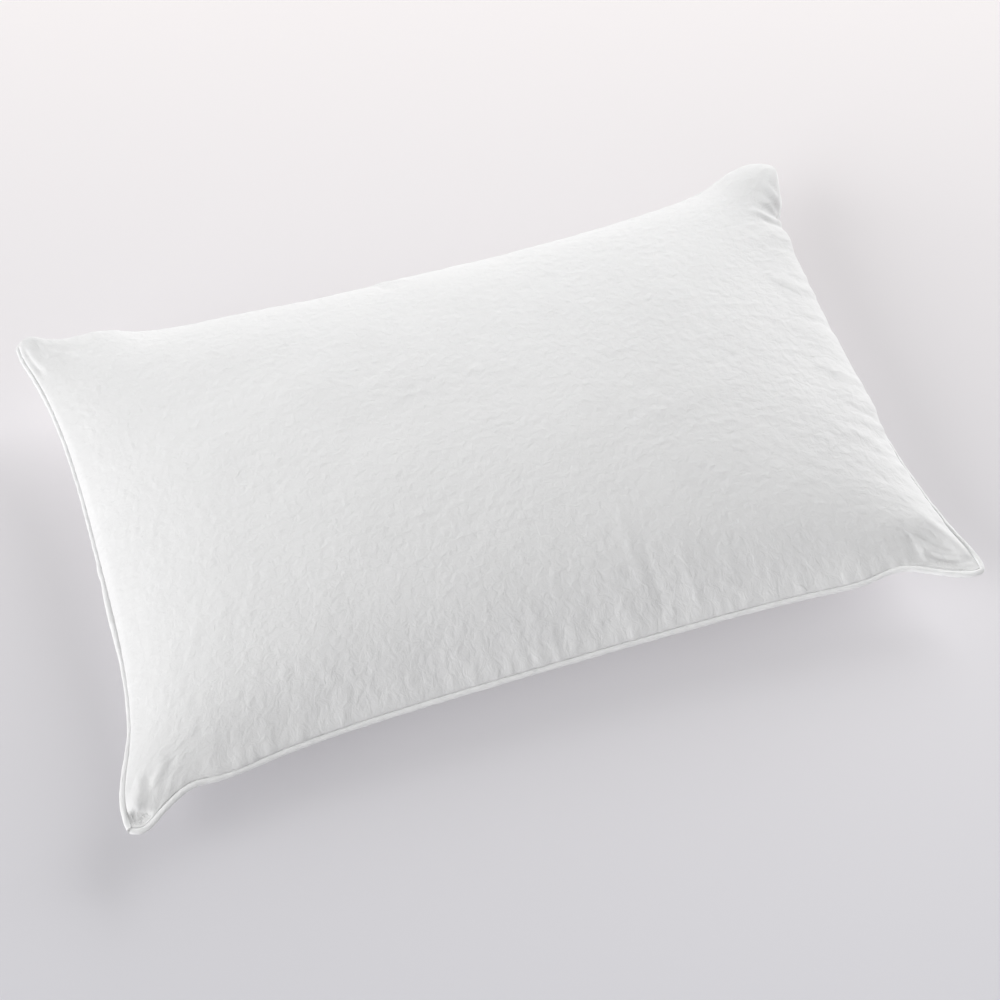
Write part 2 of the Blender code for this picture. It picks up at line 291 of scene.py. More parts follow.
# Soft folds of the upper panel, listed: (start, end, half width, height); a negative height is a crease.
FOLDS = [
    # front middle: shallow folds that lead off the seam, one of them long
    ((0.071, -0.130), (0.078, -0.204), 0.0055, 0.0007),
    ((0.080, -0.136), (0.087, -0.204), 0.0050, -0.0004),
    ((0.112, -0.165), (0.118, -0.205), 0.0050, 0.0007),
    ((0.150, -0.172), (0.155, -0.206), 0.0050, 0.0005),
    ((-0.022, -0.170), (-0.016, -0.204), 0.0050, 0.0005),
    # front left ear: ridges that fan out from the pinched tip
    ((-0.361, -0.2285), (-0.347, -0.2345), 0.0024, -0.0029),
    ((-0.354, -0.229), (-0.343, -0.209), 0.0036, 0.0017),
    ((-0.359, -0.223), (-0.347, -0.206), 0.0024, -0.0011),
    ((-0.344, -0.228), (-0.337, -0.211), 0.0040, -0.0010),
    ((-0.336, -0.226), (-0.326, -0.205), 0.0040, 0.0010),
    ((-0.327, -0.222), (-0.316, -0.204), 0.0040, -0.0008),
    # front right ear: a ridge along the right side and long wrinkles beside the front edge
    ((0.326, -0.178), (0.350, -0.222), 0.0060, 0.0030),
    ((0.303, -0.186), (0.311, -0.214), 0.0036, -0.0010),
    ((0.309, -0.190), (0.317, -0.212), 0.0024, 0.0005),
    ((0.316, -0.199), (0.344, -0.214), 0.0026, -0.0012),
    ((0.316, -0.209), (0.346, -0.219), 0.0022, 0.0011),
    ((0.318, -0.214), (0.350, -0.223), 0.0022, -0.0013),
    ((0.322, -0.219), (0.352, -0.227), 0.0020, 0.0011),
    # back right ear: fine creases that meet at the neck of the bulb
    ((0.333, 0.183), (0.350, 0.170), 0.0024, -0.0008),
    ((0.331, 0.190), (0.349, 0.173), 0.0020, 0.0009),
    ((0.334, 0.197), (0.350, 0.175), 0.0020, -0.0009),
    ((0.339, 0.203), (0.351, 0.177), 0.0020, 0.0009),
    ((0.344, 0.206), (0.352, 0.180), 0.0018, -0.0009),
    ((0.318, 0.178), (0.345, 0.165), 0.0036, 0.0018),
    ((0.322, 0.168), (0.345, 0.156), 0.0036, -0.0014),
    # back left ear: crevice between the piping and the filling, and a crease under the knob
    ((-0.352, 0.224), (-0.343, 0.198), 0.0026, -0.0026),
    ((-0.347, 0.229), (-0.338, 0.219), 0.0024, -0.0014),
    # right side: broad gathers
    ((0.300, 0.085), (0.338, 0.072), 0.0060, 0.0012),
    ((0.303, 0.040), (0.337, 0.030), 0.0055, -0.0010),
    ((0.295, -0.020), (0.333, -0.034), 0.0060, 0.0011),
    ((0.300, -0.062), (0.335, -0.080), 0.0050, -0.0010),
    ((0.290, -0.092), (0.332, -0.112), 0.0060, 0.0011),
    ((0.300, -0.140), (0.336, -0.150), 0.0050, -0.0008),
    # back edge: one pucker
    ((-0.045, 0.203), (-0.030, 0.170), 0.0050, -0.0014),
    ((-0.035, 0.205), (-0.012, 0.178), 0.0050, 0.0012),
]

# Places where the filling, or the lack of it, moves the upper panel: centre, radii and shift
SHIFTS = [
    ((0.350, 0.208), (0.030, 0.032), (0.0065, 0.0065, 0.0055)),      # back right ear is a bulb
    ((-0.348, 0.229), (0.018, 0.014), (-0.0010, 0.0010, 0.0020)),    # back left ear is a small knob
    ((-0.318, 0.226), (0.040, 0.010), (0.0, 0.0020, 0.0025)),        # that hides its piping
    ((-0.334, 0.214), (0.020, 0.018), (0.0, 0.0, 0.0030)),
    ((0.320, -0.224), (0.028, 0.013), (0.0, 0.0, -0.0060)),          # front right ear slopes to the front
    ((0.322, -0.202), (0.024, 0.012), (0.0, 0.0, -0.0035)),
    ((-0.352, -0.2240), (0.012, 0.007), (0.0, -0.0015, 0.0025)),     # filling stops short of the tip
    ((-0.355, -0.2355), (0.010, 0.005), (0.0, 0.0, -0.0020)),        # of the front left ear
]

# Local shifts of the whole edge, both panels and piping alike: centre, radius and shift
EARS = [
    ((-0.312, -0.2295), 0.024, (0.0, 0.0070, 0.0030)),       # front left: an elbow behind the ear
    ((-0.357, -0.2400), 0.014, (0.0025, -0.0040, -0.0020)),  # and a round tip
    ((-0.352, -0.2000), 0.026, (-0.0030, 0.0, 0.0)),
    ((0.294, -0.2215), 0.028, (0.0, 0.0080, 0.0030)),        # front right: an elbow
    ((0.354, -0.2310), 0.020, (0.0030, -0.0030, -0.0010)),
    ((-0.347, 0.2330), 0.013, (-0.0040, 0.0060, 0.0040)),    # back left: a knob
    ((-0.284, 0.2243), 0.024, (0.0, 0.0030, 0.0050)),
    ((0.333, 0.2375), 0.028, (0.0, 0.0050, 0.0045)),         # back right: full and round
    ((0.363, 0.2310), 0.015, (0.0030, 0.0, 0.0030)),
    ((0.355, 0.2020), 0.016, (0.0035, 0.0, 0.0)),
    ((0.347, 0.1740), 0.012, (-0.0035, 0.0, 0.0)),           # neck under it
]

# Puckers along each seam: spacing, reach and height
PUCKERS = {
    "front": (0.013, 0.018, 0.0016),
    "back": (0.013, 0.014, 0.0010),
    "left": (0.012, 0.013, 0.0007),
    "right": (0.017, 0.022, 0.0014),
}
PUCKER_FREE = 0.030         # length of seam without puckers at each corner
BULGE = 0.0075              # how far the right side hangs over its piping
LEAN = 0.0040               # how far the cloth leans out over the piping
FRONT_DROP = 0.34           # share of its rise that the upper panel loses at the front seam
OTHER_CLOTH = 3             # the lower panel reads another stretch of the same noise, this far away


def pocket(x, y):
    """At both front tips the cloth may lie below the top of the piping."""
    left = 0.0035 * np.exp(-((x + 0.354) / 0.010) ** 2 - ((y + 0.2310) / 0.007) ** 2)
    right = 0.0030 * np.exp(-((x - 0.325) / 0.030) ** 2 - ((y + 0.2240) / 0.010) ** 2)
    return left + right


def folds(x, y):
    height = np.zeros_like(x)
    for (x0, y0), (x1, y1), half_width, rise in FOLDS:
        length = math.hypot(x1 - x0, y1 - y0)
        along = ((x - x0) * (x1 - x0) + (y - y0) * (y1 - y0)) / length ** 2
        aside = ((x - x0) * (y1 - y0) - (y - y0) * (x1 - x0)) / length
        wander = 0.25 * half_width * np.sin(along * 7 + x0 * 300)
        ends = smoothstep(along, -0.25, 0.25) * (1 - smoothstep(along, 0.75, 1.25))
        height += rise * ends * np.exp(-((aside + wander) / half_width) ** 2)
    return height


def shifts(x, y):
    moved = np.zeros(x.shape + (3,))
    for (x0, y0), (radius_x, radius_y), shift in SHIFTS:
        share = np.exp(-((x - x0) / radius_x) ** 2 - ((y - y0) / radius_y) ** 2)
        moved += share[..., None] * np.array(shift)
    return moved


def shape_ears(points):
    """Moves points by the shifts of the edge near them."""
    x, y = points[..., 0], points[..., 1]
    moved = points.copy()
    for (x0, y0), radius, shift in EARS:
        share = np.exp(-((x - x0) ** 2 + (y - y0) ** 2) / radius ** 2)
        moved += share[..., None] * np.array(shift)
    return moved


def overhang(y, from_right):
    """The right side bulges over its seam from the back ear to a third from the front."""
    reach = smoothstep(from_right, 0, 0.007) * (1 - smoothstep(from_right, 0.010, 0.055))
    return BULGE * reach * smoothstep(y, -0.110, -0.050) * (1 - smoothstep(y, 0.150, 0.185))


def puckers(along, away, length, spacing, reach, tall, seed):
    """Small ridges that lead away from a seam of this length, crowded and uneven."""
    own = np.random.default_rng(seed)
    height = np.zeros_like(along)
    place = -length / 2 + 0.5 * spacing
    while place < length / 2:
        width = own.uniform(0.16, 0.34) * spacing
        far = reach * own.uniform(0.4, 1.5)
        lean = own.normal(0, 0.25)
        rise = tall * own.uniform(0.25, 1.2) * (0.65 + 0.35 * math.sin(place * 21 + seed))
        aside = along - place - lean * away
        ridge = np.exp(-(aside / (width + 0.22 * away)) ** 2)
        height += rise * ridge * (1 - np.exp(-away / 0.0022)) * np.exp(-(away / far) ** 1.4)
        place += spacing * own.uniform(0.55, 1.5)
    return height


def crinkles(s, t):
    """Fine relief of washed cotton over feathers. It is even, with quieter and livelier patches."""
    x, y = s * FLAT_LENGTH / 2, t * FLAT_WIDTH / 2
    lively = 0.75 + 0.45 * noise(x, y, 0.060, 11)
    relief = 0.00010 * creased(x, y, 0.017, 12, 0.4)
    relief += 0.00020 * creased(x, y, 0.0100, 13, 1.3)
    relief += 0.00021 * noise(x, y, 0.0062, 14, 2.2)
    soft = 0.0006 * noise(x, y, 0.085, 15, 0.9) + 0.0004 * noise(x, y, 0.043, 16, 1.7)
    return lively * relief + soft


def outward_field(out, s, t):
    """At every panel point, the level direction to the seam nearest to it, blended in the corners."""
    long, short = len(s) - 1, s.shape[1] - 1
    front, right = out[:long + 1], out[long:long + short + 1]
    back = out[long + short:2 * long + short + 1][::-1]
    left = np.concatenate([out[2 * long + short:], out[:1]])[::-1]
    sides = [(1 + s, LENGTH, left[None]), (1 - s, LENGTH, right[None]),
             (1 + t, WIDTH, front[:, None]), (1 - t, WIDTH, back[:, None])]
    field = sum(np.exp(-share * size / 2 / 0.006)[..., None] * side for share, size, side in sides)
    return field / np.maximum(np.linalg.norm(field, axis=-1, keepdims=True), 1e-12)


def seam_distances(s, t):
    """Distance of every panel point to each side, to the nearest side and to the nearest corner."""
    away = {"left": LENGTH / 2 * (1 + s), "right": LENGTH / 2 * (1 - s),
            "front": WIDTH / 2 * (1 + t), "back": WIDTH / 2 * (1 - t)}
    near_x, near_y = np.minimum(away["left"], away["right"]), np.minimum(away["front"], away["back"])
    return away, np.minimum(near_x, near_y), np.hypot(near_x, near_y)


def relief(s, t, away, edge, upper):
    """Height of the crinkles and of the puckers along the four seams."""
    height = crinkles(s if upper else s + OTHER_CLOTH, t) * (1 - np.exp(-edge / 0.0025))
    seed = 20 if upper else 30
    for k, (side, (spacing, reach, tall)) in enumerate(PUCKERS.items()):
        along, size = (s, LENGTH) if side in ("front", "back") else (t, WIDTH)
        length = size - 2 * PUCKER_FREE
        height += puckers(along * size / 2, away[side], length, spacing, reach, tall, seed + k)
    return height


def keep_clear(level, x, y, s, t, edge, corner):
    """Keeps the upper panel's level low beside the seam, and off the piping and the allowances."""
    seam = seam_level(s, t)
    most = seam + 0.0023 + 2.2 * np.maximum(edge - 0.0013, 0)
    level = np.where(edge < 0.012, np.minimum(level, most), level)
    plump = 0.0040 * smoothstep(corner, 0.040, 0.110) * (1 - np.exp(-edge / 0.006))
    least = seam + 0.0027 * (1 - np.exp(-edge / 0.0007)) + plump
    return np.maximum(level, least - pocket(x, y))


def dress(points, s, t, upper, outward):
    """Adds to a settled panel what the simulation is too coarse for."""
    x, y = points[..., 0], points[..., 1]
    away, edge, corner = seam_distances(s, t)
    height = relief(s, t, away, edge, upper)
    points = points.copy()
    if upper:
        rise = points[..., 2] - seam_level(s, t)
        points[..., 2] -= FRONT_DROP * rise * np.exp(-(away["front"] / 0.024) ** 1.5)
        points += shifts(x, y) * smoothstep(edge, 0, 0.004)[..., None]
        points[..., 0] += overhang(y, away["right"])
        height += folds(x, y) * smoothstep(edge, 0, 0.006)
    dressed = points + grid_normals(points, upper) * height[..., None]
    lean = LEAN * (1 - np.exp(-(edge / 0.0010) ** 2)) * np.exp(-(edge / 0.0085) ** 1.6)
    lean *= 1 - 0.55 * (1 - t) / 2 * (1 - smoothstep(corner, 0.030, 0.100))     # less at the front ears
    dressed += outward * lean[..., None]
    if upper:
        dressed[..., 2] = keep_clear(dressed[..., 2], x, y, s, t, edge, corner)
    dressed[..., 2] = np.maximum(dressed[..., 2], FLOOR_GAP + 0.0002 * noise(x, y, 0.01, 17))
    return dressed


# ---------------------------------------------------------------- the seam ring

Seam = namedtuple("Seam", "points out at read")


def ring_cells(long, short):
    """Grid cells of the outer row, counter-clockwise from the front left corner."""
    cells = [(i, 0) for i in range(long)] + [(long, j) for j in range(short)]
    return cells + [(i, short) for i in range(long, 0, -1)] + [(0, j) for j in range(short, 0, -1)]


def outward_of(points):
    """Level vectors that lead outward from a closed, counter-clockwise ring."""
    along = np.roll(points, -1, 0) - np.roll(points, 1, 0)
    out = np.stack([along[:, 1], -along[:, 0], np.zeros(len(points))], -1)
    return out / np.linalg.norm(out, axis=1, keepdims=True)


def ring_reader(points):
    """Distances along a closed ring, and a function that reads points, or other values, at them."""
    closed = np.concatenate([points, points[:1]])
    at = np.concatenate([[0], np.cumsum(np.linalg.norm(np.diff(closed, axis=0), axis=1))])

    def read(distance, values=closed):
        ring = values if len(values) == len(closed) else np.concatenate([values, values[:1]])
        return np.stack([np.interp(distance % at[-1], at, ring[:, k]) for k in range(3)], -1)
    return at, read


def make_seam(s, t):
    """The closed seam line of a grid: points, outward vectors, distances along it and their reader."""
    x, y = plan(s, t)
    line = shape_ears(np.stack([x, y, seam_level(s, t)], -1))
    points = np.array([line[c] for c in ring_cells(len(s) - 1, s.shape[1] - 1)])
    return Seam(points, outward_of(points), *ring_reader(points))


def join_distance(seam):
    """Distance along the seam to the join of the piping's two ends."""
    away = np.where(seam.points[:, 0] < -LENGTH / 4, abs(seam.points[:, 1] - JOIN_Y), np.inf)
    return seam.at[int(np.argmin(away))]


def inset_path(seam, distance, inset):
    """Points at these distances along the seam, moved inward from it."""
    return seam.read(distance) - seam.read(distance, seam.out) * inset


# ---------------------------------------------------------------- mesh helpers

def add_mesh(name, points, faces, finish):
    mesh = bpy.data.meshes.new(name)
    mesh.from_pydata(points.tolist(), [], faces if isinstance(faces, list) else faces.tolist())
    mesh.update()
    mesh.shade_smooth()
    mesh.materials.append(finish)
    made = bpy.data.objects.new(name, mesh)
    bpy.context.scene.collection.objects.link(made)
    return made


def cloth_coordinates(made, values):
    """Stores where each vertex lies on the flat cloth, in metres, for the weave to follow."""
    layer = made.data.attributes.new("cloth", "FLOAT_VECTOR", "POINT")
    layer.data.foreach_set("vector", np.asarray(values, np.float32).ravel())


def band_faces(rings, around, closed_section):
    """Quads between `rings` sections of `around` points each, the last one joined to the first."""
    sections = np.arange(rings * around).reshape(rings, around)
    following = np.roll(sections, -1, 0)
    last = around if closed_section else around - 1
    columns = np.arange(last)
    nexts = (columns + 1) % around
    return np.stack([sections[:, columns], following[:, columns],
                     following[:, nexts], sections[:, nexts]], -1).reshape(-1, 4)


def tube(name, path, radius, sides, closed, finish):
    """A round thread along a path of points."""
    path = np.asarray(path, float)
    ahead = np.roll(path, -1, 0) - np.roll(path, 1, 0)
    if not closed:
        ahead[0], ahead[-1] = path[1] - path[0], path[-1] - path[-2]
    ahead /= np.maximum(np.linalg.norm(ahead, axis=1, keepdims=True), 1e-12)
    level = np.cross(ahead, [0.13, 0.07, 1.0])      # no path runs along this direction
    level /= np.linalg.norm(level, axis=1, keepdims=True)
    steep = np.cross(level, ahead)
    angle = np.arange(sides) * 2 * math.pi / sides
    section = (level[:, None] * np.cos(angle)[None, :, None]
               + steep[:, None] * np.sin(angle)[None, :, None])
    points = path[:, None] + section * radius
    faces = band_faces(len(path), sides, True)
    if not closed:
        faces = faces[:(len(path) - 1) * sides]
        caps = [list(range(sides)), list(range(len(path) * sides - 1, len(path) * sides - sides - 1, -1))]
        return add_mesh(name, points.reshape(-1, 3), faces.tolist() + caps, finish)
    return add_mesh(name, points.reshape(-1, 3), faces, finish)


# ---------------------------------------------------------------- materials

def shader_of(name, colour, roughness):
    made = bpy.data.materials.new(name)
    made.use_nodes = True
    shader = made.node_tree.nodes["Principled BSDF"]
    shader.inputs["Base Color"].default_value = (*colour, 1)
    shader.inputs["Roughness"].default_value = roughness
    shader.inputs["Specular IOR Level"].default_value = 0.25
    return made, made.node_tree.nodes, made.node_tree.links, shader


def cotton(name, colour, bias=False):
    """White cotton: a fine plain weave, crinkles down to a few millimetres, and a faint unevenness
    of tone."""
    made, nodes, links, shader = shader_of(name, colour, 0.86)
    shader.inputs["Sheen Weight"].default_value = 0.12
    shader.inputs["Sheen Roughness"].default_value = 0.5
    where = nodes.new("ShaderNodeAttribute")
    where.attribute_name = "cloth"
    turned = nodes.new("ShaderNodeMapping")
    turned.inputs["Rotation"].default_value = (0, 0, math.pi / 4 if bias else 0)
    links.new(where.outputs["Vector"], turned.inputs["Vector"])

    def texture(kind, scale, **settings):
        node = nodes.new(kind)
        node.inputs["Scale"].default_value = scale
        for key, value in settings.items():
            if hasattr(node, key):
                setattr(node, key, value)
            else:
                node.inputs[key.replace("_", " ")].default_value = value
        links.new(turned.outputs["Vector"], node.inputs["Vector"])
        return node

    def bump(height, strength, distance, below=None):
        node = nodes.new("ShaderNodeBump")
        node.inputs["Strength"].default_value = strength
        node.inputs["Distance"].default_value = distance
        links.new(height, node.inputs["Height"])
        if below is not None:
            links.new(below.outputs["Normal"], node.inputs["Normal"])
        return node

    crumple = texture("ShaderNodeTexNoise", 130, Detail=3.0, Roughness=0.55, Distortion=0.6)
    grain = texture("ShaderNodeTexNoise", 420, Detail=2.0, Roughness=0.6)
    warp = texture("ShaderNodeTexWave", 380, bands_direction="X", Distortion=1.2)
    weft = texture("ShaderNodeTexWave", 380, bands_direction="Y", Distortion=1.2)
    weave = nodes.new("ShaderNodeMath")
    weave.operation = "MULTIPLY"
    links.new(warp.outputs["Fac"], weave.inputs[0])
    links.new(weft.outputs["Fac"], weave.inputs[1])
    wrinkle = texture("ShaderNodeTexNoise", 95, noise_type="RIDGED_MULTIFRACTAL", Detail=2.0)
    normal = bump(wrinkle.outputs["Fac"], 0.75, 0.0008)
    normal = bump(crumple.outputs["Fac"], 0.95, 0.0010, normal)
    normal = bump(grain.outputs["Fac"], 0.35, 0.0002, normal)
    normal = bump(weave.outputs[0], 0.30, 0.0001, normal)
    links.new(normal.outputs["Normal"], shader.inputs["Normal"])

    tone = texture("ShaderNodeTexNoise", 9, Detail=4.0, Roughness=0.6)
    ramp = nodes.new("ShaderNodeValToRGB")
    ramp.color_ramp.elements[0].position = 0.30
    ramp.color_ramp.elements[0].color = (*[c * 0.975 for c in colour], 1)
    ramp.color_ramp.elements[1].position = 0.70
    ramp.color_ramp.elements[1].color = (*[min(1, c * 1.01) for c in colour], 1)
    links.new(tone.outputs["Fac"], ramp.inputs["Fac"])
    links.new(ramp.outputs["Color"], shader.inputs["Base Color"])
    return made


def fibre(name, colour, roughness, scale, depth):
    """Thread, cord or down: short fibres that catch the light unevenly."""
    made, nodes, links, shader = shader_of(name, colour, roughness)
    shader.inputs["Sheen Weight"].default_value = 0.15
    where = nodes.new("ShaderNodeTexCoord")
    strands = nodes.new("ShaderNodeTexNoise")
    strands.inputs["Scale"].default_value = scale
    strands.inputs["Detail"].default_value = 5
    links.new(where.outputs["Object"], strands.inputs["Vector"])
    bump = nodes.new("ShaderNodeBump")
    bump.inputs["Strength"].default_value = 0.6
    bump.inputs["Distance"].default_value = depth
    links.new(strands.outputs["Fac"], bump.inputs["Height"])
    links.new(bump.outputs["Normal"], shader.inputs["Normal"])
    ramp = nodes.new("ShaderNodeValToRGB")
    ramp.color_ramp.elements[0].color = (*[c * 0.82 for c in colour], 1)
    ramp.color_ramp.elements[1].color = (*colour, 1)
    links.new(strands.outputs["Fac"], ramp.inputs["Fac"])
    links.new(ramp.outputs["Color"], shader.inputs["Base Color"])
    return made


# ---------------------------------------------------------------- pieces

def make_panel(name, points, s, t, seam, upper, finish):
    """A ticking panel: the settled face, a rolled edge along the seam and the turned-in allowance."""
    side = 1 if upper else -1
    cells = ring_cells(len(s) - 1, s.shape[1] - 1)
    index = np.arange(s.size).reshape(s.shape)
    outer = np.array([index[c] for c in cells])
    flat = np.stack([s * FLAT_LENGTH / 2 * SEWN_SHARE, t * FLAT_WIDTH / 2 * SEWN_SHARE,
                     np.full_like(s, side)], -1)
    all_points, all_flat = [points.reshape(-1, 3)], [flat.reshape(-1, 3)]
    faces = [quads(index, not upper)]
    rim, start = outer, s.size
    # inset and height of each row of the turned edge, and how far along the cloth it lies
    for inset, height, slip in ((0.0006, 0.0009, 0.002), (0.0016, 0.0007, 0.003),
                                (ALLOWANCE, 0.0007, 0.009)):
        fresh = np.arange(start, start + len(cells))
        start += len(cells)
        all_points.append(seam.points - seam.out * inset + UP * side * height)
        all_flat.append(flat.reshape(-1, 3)[outer] + seam.out * slip)
        band = np.stack([rim, np.roll(rim, -1), np.roll(fresh, -1), fresh], -1)
        faces.append(band[:, ::-1] if upper else band)
        rim = fresh
    made = add_mesh(name, np.concatenate(all_points), np.concatenate(faces), finish)
    cloth_coordinates(made, np.concatenate(all_flat))
    return made


def make_piping(seam, finish):
    """The bias strip round the cord, with its two legs in the seam. It puckers a little on the bias,
    and it is looser beside its join."""
    ring, out = seam.points, seam.out
    steps = 26
    first = math.radians(24)
    angle = math.pi - first - np.arange(steps + 1) * (2 * math.pi - 2 * first) / steps
    along = seam.at[:-1, None]
    turn = np.cos(angle)[None], np.sin(angle)[None]
    at_left = ring[:, 0] < -LENGTH / 4
    loose = np.exp(-((ring[:, 1] - (JOIN_Y - 0.045)) / 0.035) ** 2) * at_left
    join = smoothstep(-abs(ring[:, 1] - JOIN_Y), -0.0075, -0.0065) * at_left
    wrinkle = noise(along + 0 * turn[0], angle[None] * 0.004 + along * 0.6, 0.0042, 51)
    wrinkle = 0.00012 * wrinkle + 0.00010 * noise(along + 0 * turn[0], angle[None] * 0.002, 0.012, 52)
    r = PIPING_RADIUS + wrinkle + 0.0009 * loose[:, None] + 0.00035 * join[:, None]
    centre = r + 0.0001
    round_part = (ring[:, None] + out[:, None] * (centre + r * turn[0])[..., None]
                  + UP * (r * turn[1])[..., None])
    leg = (TICKING + GAP) / 2
    upper_leg = [ring - out * inset + UP * leg for inset in (ALLOWANCE, 0.004, 0.0008)]
    lower_leg = [ring - out * inset - UP * leg for inset in (0.0008, 0.004, ALLOWANCE)]
    section = np.concatenate([np.stack(upper_leg, 1), round_part, np.stack(lower_leg, 1)], 1)
    around = section.shape[1]
    made = add_mesh("piping_cover", section.reshape(-1, 3), band_faces(len(ring), around, False), finish)
    across = np.linspace(-0.018, 0.018, around)[None] + 0 * along
    cloth_coordinates(made, np.stack([along + 0 * across, across, 0 * across], -1))
    shell = made.modifiers.new("cloth", "SOLIDIFY")
    shell.thickness, shell.offset = TICKING, 0
    return made


def make_cord(seam, finish):
    """Three strands of cotton, twisted, with the two cut ends at the join."""
    centre = seam.points + seam.out * PIPING_RADIUS
    gap = 0.0016                                # between the two ends
    distance = join_distance(seam) + gap / 2 + np.linspace(0, seam.at[-1] - gap, 3400)
    path, side = seam.read(distance, centre), seam.read(distance, seam.out)
    twist = distance * 2 * math.pi / STRAND_TWIST
    strands = []
    for k in range(3):
        angle = twist + k * 2 * math.pi / 3
        strands.append(path + side * (STRAND * np.cos(angle))[:, None]
                       + UP * (STRAND * np.sin(angle))[:, None])
    return join_tubes("cord_strands", strands, STRAND, 6, finish)


def join_tubes(name, paths, radius, sides, finish):
    """Several open threads as one piece."""
    made = [tube(f"{name}_{k}", path, radius, sides, False, finish) for k, path in enumerate(paths)]
    with bpy.context.temp_override(active_object=made[0], selected_editable_objects=made):
        bpy.ops.object.join()
    made[0].name = name
    return made[0]


def stitch_steps(seam, length, steps):
    """Number of whole stitches in the seam, and distances with so many steps to each stitch."""
    count = round(seam.at[-1] / length)
    return count, np.arange(count * steps) * (seam.at[-1] / count) / steps


def make_lockstitch(name, seam, side, finish):
    """Machine stitches along the seam: each lies on the cloth and dips in at both ends."""
    count, distance = stitch_steps(seam, LOCKSTITCH, 6)
    dip = np.tile([0.0, 0.55, 1.0, 1.0, 1.0, 0.55], count)
    path = inset_path(seam, distance, STITCH_INSET)
    level = 0.0007 + 0.0006 * dip
    return tube(name, path + UP * (side * level)[:, None], THREAD / 2, 5, True, finish)


def make_overlock(seam, finish):
    """Thread that wraps the raw edges of the four layers."""
    steps = 10
    count, distance = stitch_steps(seam, OVERLOCK, steps)
    angle = np.arange(count * steps) / steps * 2 * math.pi
    inset = ALLOWANCE - 0.0012 + 0.0019 * np.cos(angle)
    path = inset_path(seam, distance, inset[:, None])
    path = path + UP * (0.00125 * np.sin(angle))[:, None]
    return tube("overlock_loops", path, THREAD / 2, 5, True, finish)


def make_closing(seam, finish):
    """Slip stitches that close the opening after filling, in the ditch beside the piping."""
    first = join_distance(seam) - OPENING / 2
    count = round(OPENING / SLIP_STITCH)
    share = np.linspace(0, 1, 6)
    threads = []
    for k in range(count):
        begin = first + (k + rng.uniform(-0.12, 0.12)) * OPENING / count
        path = inset_path(seam, begin + 0.0026 * share, (0.0008 - 0.0030 * share)[:, None])
        rise = 0.0015 + 0.0012 * np.sin(share * math.pi) ** 0.6
        threads.append(path + UP * rise[:, None])
    return join_tubes("closing_stitches", threads, THREAD / 2, 6, finish)


def make_down(top, bottom, s, t, finish):
    """The down and feather mass under the panels, lumpy, and short of the seam allowances."""
    keep = slice(6, -6, 2)
    lumps = creased(s, t, 0.05, 61, 0.3)[..., None].clip(-1, 1)
    upper = top - grid_normals(top, True) * (0.0016 + 0.0010 * lumps)
    lower = bottom - grid_normals(bottom, False) * 0.0012
    upper, lower = upper[keep, keep], lower[keep, keep]
    lower[..., 2] = np.maximum(lower[..., 2], 0.0012)
    long, short = upper.shape[0] - 1, upper.shape[1] - 1
    index = np.arange(upper.shape[0] * upper.shape[1]).reshape(upper.shape[:2])
    below = index + index.size
    cells = ring_cells(long, short)
    a, b = np.array([index[c] for c in cells]), np.array([below[c] for c in cells])
    wall = np.stack([a, b, np.roll(b, -1), np.roll(a, -1)], -1)
    points = np.concatenate([upper.reshape(-1, 3), lower.reshape(-1, 3)])
    faces = np.concatenate([quads(index, False), quads(below, True), wall])
    return add_mesh("down_mass", points, faces, finish)


# ---------------------------------------------------------------- stage, lights and camera

CAMERA_AZIMUTH, CAMERA_ELEVATION = -18.24, 53.71
CAMERA_DISTANCE = 1.644
CAMERA_TARGET = (0.0005, -0.0423, 0.05)
LENS = 69.44
GLOW = 0.27                 # the floor's own share of its light
FLOOR_NEAR, FLOOR_FAR = -0.55, 0.75         # span of its painted shade, which lightens away from the camera
NEAR_SHADED_TONE, FAR_LIT_TONE = (0.66, 0.655, 0.69, 1), (0.97, 0.93, 0.93, 1)
SKY = 0.31

# Large, far lights: azimuth from +X, elevation, strength and angular size
SUNS = {
    "left": (190, 16, 3.0, 60),
    "back_right": (38, 13, 3.9, 66),
    "front": (240, 24, 0.25, 80),
}


def make_camera():
    azimuth, elevation = math.radians(CAMERA_AZIMUTH), math.radians(CAMERA_ELEVATION)
    back = Vector((math.sin(azimuth) * math.cos(elevation), -math.cos(azimuth) * math.cos(elevation),
                   math.sin(elevation)))
    camera = bpy.data.objects.new("camera", bpy.data.cameras.new("camera"))
    bpy.context.scene.collection.objects.link(camera)
    camera.location = Vector(CAMERA_TARGET) + back * CAMERA_DISTANCE
    camera.rotation_euler = back.to_track_quat("Z", "Y").to_euler()
    camera.data.sensor_width = 36
    camera.data.lens = LENS
    bpy.context.scene.camera = camera


def make_sun(name, azimuth, elevation, strength, spread):
    """A large, far light. Angles are in degrees, and azimuth is counter-clockwise from +X."""
    light = bpy.data.lights.new(name, "SUN")
    light.energy, light.angle = strength, math.radians(spread)
    made = bpy.data.objects.new(name, light)
    bpy.context.scene.collection.objects.link(made)
    turn, rise = math.radians(azimuth), math.radians(elevation)
    toward = Vector((math.cos(turn) * math.cos(rise), math.sin(turn) * math.cos(rise), math.sin(rise)))
    made.rotation_euler = toward.to_track_quat("Z", "Y").to_euler()


